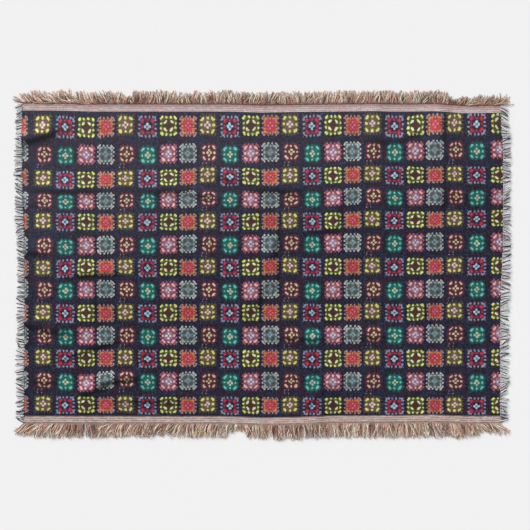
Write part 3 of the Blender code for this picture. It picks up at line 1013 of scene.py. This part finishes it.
def buildHeading(name, band):
    side, count = band["side"], headingSize["sections"]
    swing = headingSize["cordRelief"] / 2
    profile = []
    for i in range(count + 1):
        turn = 2 * math.pi * (i / count - headingSize["firstGroove"]) / headingSize["cordSpacing"]
        profile.append(headingSize["thickness"] - swing * math.cos(turn))
    outwards = Vector((0, side))
    inner = throw["gap"]
    mesh = bandMesh(
        name, lambda share: endLine(side, share), outwards, inner, inner + throw["headingWidth"],
        profile, headingSize["stations"], "headingChart",
    )
    mesh.materials.append(headingMaterial(name + "Weft", band))
    made = bpy.data.objects.new(name, mesh)
    bpy.context.scene.collection.objects.link(made)
    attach(made, "root")
    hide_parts(band["node"])
    return made


topHeading = buildHeading("topHeading", headings["top"])
bottomHeading = buildHeading("bottomHeading", headings["bottom"])
print("headings woven")

# Fringes: strands on a woven root strip, grouped in locks, lying down on the floor.

endTints = [
    (0.00, tint(250, 240, 222)), (0.15, tint(224, 197, 173)), (0.29, tint(184, 152, 128)),
    (0.42, tint(124, 92, 75)), (0.53, tint(82, 58, 50)), (0.62, tint(216, 172, 152)),
    (0.72, tint(190, 132, 108)), (0.78, tint(161, 166, 144)), (0.84, tint(181, 154, 160)),
    (0.91, tint(114, 66, 62)), (0.96, tint(252, 246, 233)),
]
# Broad zones of colour along the end fringes.
zoneTints = [
    (0.30, tint(196, 160, 132)), (0.40, tint(204, 156, 146)), (0.48, tint(176, 170, 152)),
    (0.56, tint(198, 168, 162)), (0.64, tint(172, 152, 160)), (0.74, tint(196, 172, 140)),
]
# Side yarns: the dark strands are partly dark yarn and partly painted shade between the pale loops.
sideTints = [
    (0.00, tint(16, 16, 22)), (0.22, tint(38, 38, 46)), (0.40, tint(84, 84, 92)),
    (0.50, tint(190, 190, 196)), (0.62, tint(226, 226, 230)), (0.80, tint(248, 247, 247)),
    (0.975, tint(132, 118, 138)),
]
sideLean = [
    (-0.440, 26), (-0.400, -22), (-0.350, 28), (-0.290, -18), (-0.230, 22), (-0.170, -26), (-0.110, 18),
    (-0.050, -14), (0.020, 24), (0.080, -20), (0.140, 12), (0.200, 28), (0.260, -18), (0.320, 22),
    (0.380, -20), (0.440, -30),
]
fringes = {
    "topFringe": {
        "node": "top_fringe", "slot": "end_yarn", "end": 1, "seed": 11, "locks": 112, "perLock": 12,
        "length": 0.0372, "shortest": 0.74, "thickness": 0.0021, "swing": 0.0022, "waves": 1.1, "curl": 0.9,
        "flow": 24.0, "flowCurl": 1.1, "alike": 0.16, "leanSpread": 9, "strandSpread": 17, "pile": 0.0052,
        # the dark root tint is partly painted shade along the fringe's root line
        "tipLift": 0.0016, "root": tint(128, 82, 76), "rootShade": 0.62, "tipShade": 0.34, "tints": endTints,
        "paintedLightLeft": 0.22,  # painted light: how much paler each metre to the left, the side the light comes from
        # place along the edge, lean in degrees towards +X
        "lean": [
            (-0.660, -50), (-0.610, -44), (-0.560, -38), (-0.480, -46), (-0.445, -24), (-0.410, 0),
            (-0.368, -6), (-0.352, 8), (-0.300, -4), (-0.237, 14), (-0.220, -12), (-0.176, 10),
            (-0.164, -8), (-0.100, 10), (0.000, 20), (0.080, -10), (0.140, 24), (0.250, 8),
            (0.480, 4), (0.530, -10), (0.560, 40), (0.600, 50), (0.660, 60),
        ],
        # place along the edge, share of the full length
        "reach": [
            (-0.660, 0.84), (-0.600, 1.04), (-0.540, 1.02), (-0.480, 1.08), (-0.440, 1.02), (-0.400, 1.0),
            (-0.376, 0.66), (-0.362, 0.46), (-0.350, 1.0), (-0.243, 1.02), (-0.232, 0.36), (-0.224, 0.36),
            (-0.208, 0.86), (-0.180, 0.98), (-0.170, 0.52), (-0.158, 1.0), (0.060, 1.0), (0.074, 0.80),
            (0.100, 1.0), (0.492, 1.0), (0.512, 0.74), (0.528, 0.44), (0.550, 0.76), (0.660, 1.0),
        ],
    },
    "bottomFringe": {
        "node": "bottom_fringe", "slot": "end_yarn", "end": -1, "seed": 23, "locks": 106, "perLock": 12,
        "length": 0.0425, "shortest": 0.82, "thickness": 0.0021, "swing": 0.0024, "waves": 1.2, "curl": 0.8,
        "flow": 22.0, "flowCurl": 1.0, "alike": 0.22, "leanSpread": 7, "strandSpread": 12, "pile": 0.0052,
        "tipLift": 0.0052, "root": tint(150, 126, 116), "rootShade": 0.6, "tipShade": 0.20, "tints": endTints,
        "paintedLightLeft": 0.0,
        "lean": [
            (-0.660, -52), (-0.620, -44), (-0.570, -24), (-0.500, -16), (-0.486, 8), (-0.455, 4),
            (-0.400, -24), (-0.300, -28), (-0.235, -42), (-0.205, -6), (-0.110, -10), (-0.084, -12),
            (-0.060, 14), (0.000, 0), (0.016, -8), (0.026, 8), (0.059, -6), (0.071, 8), (0.120, 0),
            (0.400, 4), (0.460, 16), (0.560, 24), (0.620, 36), (0.660, 46),
        ],
        "reach": [
            (-0.660, 0.97), (-0.502, 1.0), (-0.494, 0.50), (-0.488, 0.50), (-0.479, 0.98), (-0.400, 0.96),
            (-0.300, 0.93), (-0.200, 0.91), (-0.098, 0.92), (-0.088, 0.60), (-0.078, 0.42), (-0.066, 0.46),
            (-0.050, 0.68), (-0.034, 0.88), (0.012, 0.97), (0.018, 0.50), (0.024, 0.50), (0.030, 0.98),
            (0.060, 1.0), (0.065, 0.55), (0.070, 1.0), (0.120, 0.98), (0.190, 0.94), (0.322, 0.96),
            (0.455, 1.02), (0.560, 1.0), (0.596, 0.64), (0.620, 0.74), (0.660, 0.97),
        ],
    },
    "leftFringe": {
        "node": "left_fringe", "slot": "side_yarn", "end": 0, "side": -1, "seed": 31,
        "locks": 112, "perLock": 3,
        "length": 0.0222, "shortest": 0.86, "thickness": 0.0021, "swing": 0.0005, "waves": 1.0, "curl": 0.5,
        "flow": 75.0, "flowCurl": 1.4, "alike": 0.0, "leanSpread": 8, "strandSpread": 5, "pile": 0.0022,
        "tipLift": 0.0030, "root": tint(150, 146, 154), "rootShade": 0.3, "tipShade": 0.0, "tints": sideTints,
        "lean": sideLean,
        "reach": [
            (-0.440, 1.0), (-0.400, 1.02), (-0.303, 1.14), (-0.171, 1.06), (-0.039, 1.0), (0.093, 1.08),
            (0.225, 1.05), (0.357, 0.90), (0.440, 0.92),
        ],
    },
    "rightFringe": {
        "node": "right_fringe", "slot": "side_yarn", "end": 0, "side": 1, "seed": 47,
        "locks": 112, "perLock": 3,
        "length": 0.0235, "shortest": 0.90, "thickness": 0.0021, "swing": 0.0005, "waves": 1.0, "curl": 0.5,
        "flow": 75.0, "flowCurl": 1.4, "alike": 0.0, "leanSpread": 8, "strandSpread": 5, "pile": 0.0022,
        "tipLift": 0.0058, "root": tint(196, 192, 198), "rootShade": 0.5, "tipShade": 0.0, "tints": sideTints,
        "lean": sideLean,
        "reach": [
            (-0.440, 0.86), (-0.400, 0.88), (-0.303, 1.06), (-0.171, 1.10), (-0.039, 1.06), (0.093, 0.90),
            (0.225, 0.88), (0.357, 0.99), (0.440, 0.96),
        ],
    },
}
strandSize = {
    "points": 9,
    "sides": 4,
    "fall": 1.6,  # how fast a strand leaves its root's height
    "stripStations": 140,
    "endRoots": (0.0006, 0.0020),  # how far out on its strip a strand starts
    "sideRoots": (-0.0022, 0.0016),
    "endStray": (0.1, 0.9),
    "sideStray": (0.3, 0.7),
    "overStrip": 0.0014,  # a strand that starts over the cloth's rim lies this much higher
    "longest": 1.04,
    "lockCurl": 0.45,  # how much of its curl a strand shares with its lock
    "ownCurl": 0.75,
    "leastCurl": 0.08,
    "innerRoot": 0.0004,
    "rootPile": 0.0008,
    "phaseSpread": 0.7,
    "swingRange": (0.3, 1.2),
    "pilePower": 1.2,
    "darkShare": 0.88,  # of the side strands, those in a dark and pale row; the dark ones are partly painted shade between the pale loops
}
yarnLook = {
    "zoneScale": 11.0,
    "zoneTinge": 0.40,
    "zoneVeil": 0.10,
    "tipFrom": 0.4,
    "tipTint": tint(242, 234, 222),
    "plyScale": 260.0,
    "plyDistortion": 4.0,
    "plyShade": 0.16,
    "plyRelief": 0.0003,
    "fuzzScale": 360.0,
    "fuzzShade": (1.3, 0.35),
    "rootRange": (0.24, 0.02),  # where the root's colour starts and is full, in shares of the strand; along the top fringe that colour is partly painted shade
}


def buildStrandTree():
    # Turns the marked points of a root strip into strands that arch down to the floor.
    tree = bpy.data.node_groups.new("fringeStrands", "GeometryNodeTree")
    tree.interface.new_socket(name="Geometry", in_out="INPUT", socket_type="NodeSocketGeometry")
    for name, kind in (
        ("Outwards", "NodeSocketVector"), ("Along", "NodeSocketVector"), ("Thickness", "NodeSocketFloat"),
        ("Root Height", "NodeSocketFloat"), ("Waves", "NodeSocketFloat"),
        ("Yarn", "NodeSocketMaterial"), ("Strip", "NodeSocketMaterial"),
    ):
        tree.interface.new_socket(name=name, in_out="INPUT", socket_type=kind)
    tree.interface.new_socket(name="Geometry", in_out="OUTPUT", socket_type="NodeSocketGeometry")
    given, out = tree.nodes.new("NodeGroupInput").outputs, tree.nodes.new("NodeGroupOutput").inputs

    def named(name, kind="FLOAT"):
        made = addNode(tree, "GeometryNodeInputNamedAttribute", {"Name": name}, data_type=kind)
        return next(socket for socket in made.outputs if socket.name == "Attribute" and socket.enabled)

    def stored(geometry, name, value, kind, domain):
        made = addNode(
            tree, "GeometryNodeStoreNamedAttribute", {"Geometry": geometry, "Name": name},
            data_type=kind, domain=domain,
        )
        feed(tree, next(socket for socket in made.inputs if socket.name == "Value" and socket.enabled), value)
        return made.outputs["Geometry"]

    isRoot = named("strandRoot", "BOOLEAN")
    straight = addNode(tree, "GeometryNodeCurvePrimitiveLine", {"End": (1.0, 0.0, 0.0)})
    divided = addNode(
        tree, "GeometryNodeResampleCurve",
        {"Curve": straight.outputs["Curve"], "Count": strandSize["points"]},
    )
    copies = addNode(
        tree, "GeometryNodeInstanceOnPoints",
        {"Points": given["Geometry"], "Selection": isRoot, "Instance": divided.outputs["Curve"]},
    )
    strands = addNode(tree, "GeometryNodeRealizeInstances", {"Geometry": copies.outputs["Instances"]})
    share = addNode(tree, "GeometryNodeSplineParameter").outputs["Factor"]
    # Along the strand: an arc that turns by curl in all, leaning from straight out, with a sideways swing.
    curl, lean, reach = named("curl"), named("lean"), named("reach")
    turned = calc(tree, "MULTIPLY", curl, share)
    arcOut = calc(tree, "DIVIDE", calc(tree, "SINE", turned), curl)
    arcSide = calc(tree, "DIVIDE", calc(tree, "SUBTRACT", 1.0, calc(tree, "COSINE", turned)), curl)
    cosLean, sinLean = calc(tree, "COSINE", lean), calc(tree, "SINE", lean)
    goOut = calc(tree, "MULTIPLY", arcOut, cosLean)
    goOut = calc(tree, "SUBTRACT", goOut, calc(tree, "MULTIPLY", arcSide, sinLean))
    goSide = calc(tree, "MULTIPLY", arcOut, sinLean)
    goSide = calc(tree, "ADD", goSide, calc(tree, "MULTIPLY", arcSide, cosLean))
    turns = calc(tree, "MULTIPLY", share, given["Waves"])
    phase = calc(tree, "MULTIPLY_ADD", turns, 2 * math.pi, named("phase"))
    swing = calc(tree, "MULTIPLY", calc(tree, "MULTIPLY", calc(tree, "SINE", phase), named("swing")), share)
    goSide = calc(tree, "MULTIPLY_ADD", goSide, reach, swing)
    goOut = calc(tree, "MULTIPLY", goOut, reach)
    # Down to the floor: from the root's height over the pile of other strands to the tip.
    radius = calc(tree, "MULTIPLY", given["Thickness"], 0.5)
    falling = calc(tree, "POWER", calc(tree, "SUBTRACT", 1.0, share), strandSize["fall"])
    arch = calc(tree, "MULTIPLY", calc(tree, "MULTIPLY", share, calc(tree, "SUBTRACT", 1.0, share)), 4.0)
    height = calc(tree, "MULTIPLY_ADD", named("pile"), arch, radius)
    height = calc(tree, "MULTIPLY_ADD", named("tipLift"), share, height)
    rootHeight = calc(tree, "ADD", given["Root Height"], named("rootLift"))
    height = calc(tree, "MULTIPLY_ADD", calc(tree, "SUBTRACT", rootHeight, radius), falling, height)
    outwards = calcVector(tree, "SCALE", given["Outwards"], scale=goOut)
    place = calcVector(tree, "ADD", named("rootPlace", "FLOAT_VECTOR"), outwards)
    place = calcVector(tree, "ADD", place, calcVector(tree, "SCALE", given["Along"], scale=goSide))
    upright = vectorOf(tree, 0.0, 0.0, height)
    placed = addNode(
        tree, "GeometryNodeSetPosition",
        {"Geometry": strands.outputs["Geometry"], "Position": calcVector(tree, "ADD", place, upright)},
    )
    kept = stored(placed.outputs["Geometry"], "strandShare", share, "FLOAT", "POINT")
    section = addNode(
        tree, "GeometryNodeCurvePrimitiveCircle",
        {"Resolution": strandSize["sides"], "Radius": radius},
    )
    tubes = addNode(
        tree, "GeometryNodeCurveToMesh",
        {"Curve": kept, "Profile Curve": section.outputs["Curve"], "Fill Caps": True},
    )
    marked = stored(tubes.outputs["Mesh"], "yarnFace", True, "BOOLEAN", "FACE")
    bare = addNode(
        tree, "GeometryNodeDeleteGeometry",
        {"Geometry": given["Geometry"], "Selection": isRoot}, domain="POINT",
    )
    joined = tree.nodes.new("GeometryNodeJoinGeometry")
    tree.links.new(bare.outputs["Geometry"], joined.inputs[0])
    tree.links.new(marked, joined.inputs[0])
    whole = addNode(tree, "GeometryNodeRealizeInstances", {"Geometry": joined.outputs["Geometry"]})
    strip = addNode(
        tree, "GeometryNodeSetMaterial",
        {"Geometry": whole.outputs["Geometry"], "Material": given["Strip"]},
    )
    yarn = addNode(
        tree, "GeometryNodeSetMaterial",
        {
            "Geometry": strip.outputs["Geometry"], "Selection": named("yarnFace", "BOOLEAN"),
            "Material": given["Yarn"],
        },
    )
    feed(tree, out["Geometry"], yarn.outputs["Geometry"])
    return tree


def setInput(modifier, name, value):
    for item in modifier.node_group.interface.items_tree:
        if item.item_type == "SOCKET" and item.in_out == "INPUT" and item.name == name:
            modifier[item.identifier] = value


def yarnMaterial(name, fringe):
    # Twisted cotton yarn: each strand takes one colour, darker at its root and between its plies. Along the
    # top fringe the darker root is partly painted shade.
    material, tree, surface = newMaterial(name)
    point = addNode(tree, "ShaderNodeTexCoord").outputs["Object"]
    pick, share = attributeOf(tree, "yarnTint"), attributeOf(tree, "strandShare")
    colour = rampOf(tree, pick, fringe["tints"], "CONSTANT")
    if fringe["end"]:
        zone = noiseOf(tree, point, yarnLook["zoneScale"], 2.0)["Fac"]
        zoneTint = rampOf(tree, zone, zoneTints)
        colour = mixTint(tree, yarnLook["zoneTinge"], colour, mixTint(tree, 1.0, colour, zoneTint, "OVERLAY"))
        colour = mixTint(tree, yarnLook["zoneVeil"], colour, zoneTint)
        tip = calc(tree, "MULTIPLY", softStep(tree, share, yarnLook["tipFrom"], 1.0), fringe["tipShade"])
        colour = mixTint(tree, tip, colour, yarnLook["tipTint"])
        # Painted light: the fringe is painted paler towards the left, where the light comes from.
        paintedLightFactor = calc(tree, "MULTIPLY_ADD", separated(tree, point)["X"], -fringe["paintedLightLeft"], 1.0)
        colour = mixTint(tree, 1.0, colour, vectorOf(tree, paintedLightFactor, paintedLightFactor, paintedLightFactor), "MULTIPLY")
    plies = addNode(
        tree, "ShaderNodeTexWave",
        {
            "Vector": point, "Scale": yarnLook["plyScale"], "Distortion": yarnLook["plyDistortion"],
            "Detail": 1.0, "Detail Scale": 1.4,
        },
        bands_direction="DIAGONAL",
    ).outputs["Fac"]
    fuzz = noiseOf(tree, point, yarnLook["fuzzScale"])["Fac"]
    value = calc(tree, "MULTIPLY_ADD", plies, yarnLook["plyShade"], 1 - yarnLook["plyShade"])
    value = shadeBy(tree, value, fuzz, *yarnLook["fuzzShade"])
    # The root tint, partly painted shade on the top fringe, darkens each strand near its root.
    rootMask = calc(tree, "MULTIPLY", softStep(tree, share, *yarnLook["rootRange"]), fringe["rootShade"])
    feed(tree, surface["Base Color"], mixTint(tree, rootMask, toned(tree, colour, value), fringe["root"]))
    bumped(tree, surface, plies, 0.5, yarnLook["plyRelief"])
    surface["Roughness"].default_value = 0.88
    surface["Specular IOR Level"].default_value = 0.2
    surface["Sheen Weight"].default_value = 0.15
    return material


def stripMaterial(name, fringe):
    material, tree, surface = newMaterial(name)
    point = addNode(tree, "ShaderNodeTexCoord").outputs["Object"]
    threads = useGroup(tree, wovenThreads, {"Point": point, "Warp Pitch": 0.0016, "Weft Pitch": 0.0016})
    value = calc(tree, "MULTIPLY_ADD", threads["Tone"], 0.5, 0.75)
    feed(tree, surface["Base Color"], toned(tree, fringe["root"], value))
    bumped(tree, surface, threads["Height"], 0.6, weave["relief"])
    surface["Roughness"].default_value = 0.92
    surface["Specular IOR Level"].default_value = 0.2
    return material


def fringeLine(fringe):
    # The line that a fringe's strip starts from, by the share along it.
    if fringe["end"]:
        side = fringe["end"]
        past = throw["headingWidth"] + 2 * throw["gap"]
        shift = Vector((0, side * past))
        return (lambda share: endLine(side, share) + shift), Vector((0, side)), Vector((1, 0))
    side = fringe["side"]
    beyond = (throw["headingWidth"] + throw["gap"]) / (throw["width"] + 2 * throw["headingWidth"])

    def line(share):
        inside = (share - beyond) / (1 - 2 * beyond)
        spot = sideLine(side, min(max(inside, 0.0), 1.0))
        spot.y += (min(inside, 0.0) + max(inside - 1, 0.0)) * throw["width"]
        spot.x += side * throw["gap"]
        return spot

    return line, Vector((side, 0)), Vector((0, 1))


def buildFringe(name, fringe, tree):
    line, outwards, along = fringeLine(fringe)
    chance = random.Random(fringe["seed"])
    stripHeight = throw["thickness"]
    mesh = bandMesh(
        name + "Strip", line, outwards, 0.0, throw["stripWidth"], [stripHeight] * 3,
        strandSize["stripStations"], "stripChart",
    )
    stripPoints = len(mesh.vertices)
    count = fringe["locks"] * fringe["perLock"]
    mesh.vertices.add(count)
    names = ("lean", "reach", "curl", "phase", "swing", "pile", "tipLift", "rootLift", "yarnTint")
    marks = {key: [0.0] * stripPoints for key in names}
    places = [(0.0, 0.0, 0.0)] * stripPoints
    for lock in range(fringe["locks"]):
        lockLean, lockTint = chance.gauss(0, 1) * fringe["leanSpread"], chance.random()
        lockReach, lockCurl = chance.uniform(0.94, 1.04), chance.uniform(-1, 1)
        lockPhase = chance.uniform(0, 2 * math.pi)
        for strand in range(fringe["perLock"]):
            stray = chance.uniform(*strandSize["endStray" if fringe["end"] else "sideStray"])
            share = (lock + (strand + stray) / fringe["perLock"]) / fringe["locks"]
            spot = line(share)
            place = spot.dot(along)
            rootOut = chance.uniform(*strandSize["endRoots" if fringe["end"] else "sideRoots"])
            places.append((spot.x + outwards.x * rootOut, spot.y + outwards.y * rootOut, 0.0))
            flow = noise.noise(Vector((place * fringe["flow"], fringe["seed"], 0.0)))
            lean = easedAlong(fringe["lean"], place) + lockLean + chance.gauss(0, 1) * fringe["strandSpread"]
            reach = fringe["length"] * easedAlong(fringe["reach"], place) * lockReach
            reach *= chance.uniform(fringe["shortest"], strandSize["longest"])
            ownCurl = strandSize["lockCurl"] * lockCurl + strandSize["ownCurl"] * chance.uniform(-1, 1)
            curl = fringe["curl"] * ownCurl + fringe["flowCurl"] * flow
            curl = math.copysign(max(abs(curl), strandSize["leastCurl"]), curl)
            lean = math.radians(lean) - curl * 0.45
            mixed = lockTint if chance.random() < fringe["alike"] else chance.random()
            if not fringe["end"] and chance.random() < strandSize["darkShare"]:
                mixed = chance.uniform(0.5, 1.0) if strand else chance.uniform(0.0, 0.46)
            onTop = strandSize["overStrip"] if rootOut < strandSize["innerRoot"] else 0.0
            phase = lockPhase + chance.gauss(0, strandSize["phaseSpread"])
            swing = fringe["swing"] * chance.uniform(*strandSize["swingRange"])
            pile = fringe["pile"] * chance.random() ** strandSize["pilePower"]
            tipLift = fringe["tipLift"] * chance.random()
            rootLift = lift(spot.x, spot.y) + onTop + strandSize["rootPile"] * chance.random()
            values = (lean, reach, curl, phase, swing, pile, tipLift, rootLift, mixed)
            for key, value in zip(marks, values):
                marks[key].append(value)
    for index in range(count):
        mesh.vertices[stripPoints + index].co = places[stripPoints + index]
    for key, values in marks.items():
        mesh.attributes.new(key, "FLOAT", "POINT").data.foreach_set("value", values)
    rootPlaces = mesh.attributes.new("rootPlace", "FLOAT_VECTOR", "POINT")
    rootPlaces.data.foreach_set("vector", [value for spot in places for value in spot])
    flags = mesh.attributes.new("strandRoot", "BOOLEAN", "POINT")
    flags.data.foreach_set("value", [False] * stripPoints + [True] * count)
    made = bpy.data.objects.new(name, mesh)
    bpy.context.scene.collection.objects.link(made)
    strands = made.modifiers.new("strands", "NODES")
    strands.node_group = tree
    inputs = {
        "Outwards": (*outwards, 0.0), "Along": (*along, 0.0), "Thickness": fringe["thickness"],
        "Root Height": stripHeight, "Waves": fringe["waves"],
        "Yarn": yarnMaterial(name + "Yarn", fringe), "Strip": stripMaterial(name + "Root", fringe),
    }
    for socketName, value in inputs.items():
        setInput(strands, socketName, value)
    graph = bpy.context.evaluated_depsgraph_get()
    finished = bpy.data.meshes.new_from_object(
        made.evaluated_get(graph), preserve_all_data_layers=True, depsgraph=graph,
    )
    made.modifiers.clear()
    made.data = finished
    finished.name = name
    finished.polygons.foreach_set("use_smooth", [True] * len(finished.polygons))
    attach(made, "root")
    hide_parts(fringe["node"])
    print(name, len(finished.polygons), "faces")
    return made


strandTree = buildStrandTree()
fringePieces = [buildFringe(name, fringe, strandTree) for name, fringe in fringes.items()]

# Floor, light and camera

studio = {
    "floorTint": tint(240, 240, 240),
    "fill": 0.50,
    "sunStrength": 2.62,
    "sunAngle": 34,  # degrees, its softness
    "sunHeight": 38,  # degrees over the floor
    "sunFrom": 135,  # degrees round from +X, the upper left
    "middle": (0.0055, -0.0034),
    "distance": 4.0,
    "frameWidth": 1.460,
}


def buildFloor():
    size = 12.0
    mesh = bpy.data.meshes.new("floor")
    corners = [(-size, -size, 0), (size, -size, 0), (size, size, 0), (-size, size, 0)]
    mesh.from_pydata(corners, [], [(0, 1, 2, 3)])
    material, tree, surface = newMaterial("paleFloor")
    point = addNode(tree, "ShaderNodeTexCoord").outputs["Object"]
    value = calc(tree, "MULTIPLY_ADD", noiseOf(tree, point, 3.0)["Fac"], 0.004, 0.998)
    feed(tree, surface["Base Color"], toned(tree, studio["floorTint"], value))
    surface["Roughness"].default_value = 1.0
    surface["Specular IOR Level"].default_value = 0.0
    mesh.materials.append(material)
    floor = bpy.data.objects.new("floor", mesh)
    floor.location.z = -0.0002
    bpy.context.scene.collection.objects.link(floor)
    return floor


def buildLights():
    world = bpy.data.worlds.new("studioFill")
    world.use_nodes = True
    back = world.node_tree.nodes["Background"].inputs
    back["Color"].default_value = (1.0, 1.0, 1.0, 1.0)
    back["Strength"].default_value = studio["fill"]
    bpy.context.scene.world = world
    sun = bpy.data.lights.new("softWindow", "SUN")
    sun.energy = studio["sunStrength"]
    sun.angle = math.radians(studio["sunAngle"])
    lamp = bpy.data.objects.new("softWindow", sun)
    turn, height = math.radians(studio["sunFrom"]), math.radians(studio["sunHeight"])
    towards = Vector((math.cos(turn) * math.cos(height), math.sin(turn) * math.cos(height), math.sin(height)))
    lamp.rotation_euler = towards.to_track_quat("Z", "Y").to_euler()
    lamp.location = towards * 3
    bpy.context.scene.collection.objects.link(lamp)


def buildCamera():
    camera = bpy.data.cameras.new("overhead")
    camera.sensor_width = 36
    camera.lens = 36 * studio["distance"] / studio["frameWidth"]
    camera.clip_end = 100
    eye = bpy.data.objects.new("overhead", camera)
    eye.location = (*studio["middle"], studio["distance"])
    bpy.context.scene.collection.objects.link(eye)
    bpy.context.scene.camera = eye


floor = buildFloor()
buildLights()
buildCamera()
bpy.context.scene.view_settings.view_transform = "Standard"

print("throw finished")
